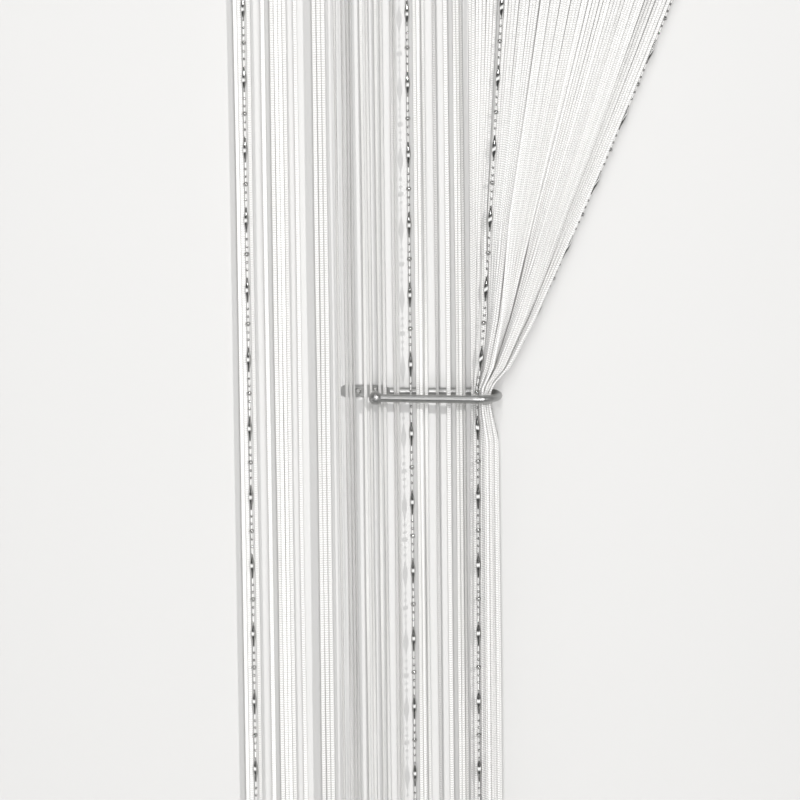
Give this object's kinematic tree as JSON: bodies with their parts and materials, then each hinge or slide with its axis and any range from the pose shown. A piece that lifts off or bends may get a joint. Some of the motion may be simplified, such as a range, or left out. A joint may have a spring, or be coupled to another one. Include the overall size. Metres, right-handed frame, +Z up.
{
  "type": "string bead curtain with wall holdback",
  "caption": "White string curtain with silver bead strings, gathered on a rod-pocket heading and drawn to one side through a satin metal U-shaped wall holdback.",
  "frame": {"origin": "middle of the heading's top edge", "axes": "+Z up, +X along the heading to the right as seen from the room, +Y towards the wall behind the curtain"},
  "size_m": [0.661, 0.0646, 2],
  "materials": {
    "band": "white woven band, matt",
    "tape": "white knitted tape with a slight sheen",
    "beads": "bright silver",
    "satin_metal": "satin grey",
    "screw_steel": "plain steel"
  },
  "bodies": {
    "root": {"heading": "band", "strings_straight": "tape", "strings_drawn": "tape", "holdback_tube": "satin_metal", "holdback_ball": "satin_metal", "screw_1": "screw_steel", "screw_2": "screw_steel"}
  },
  "joints": []
}
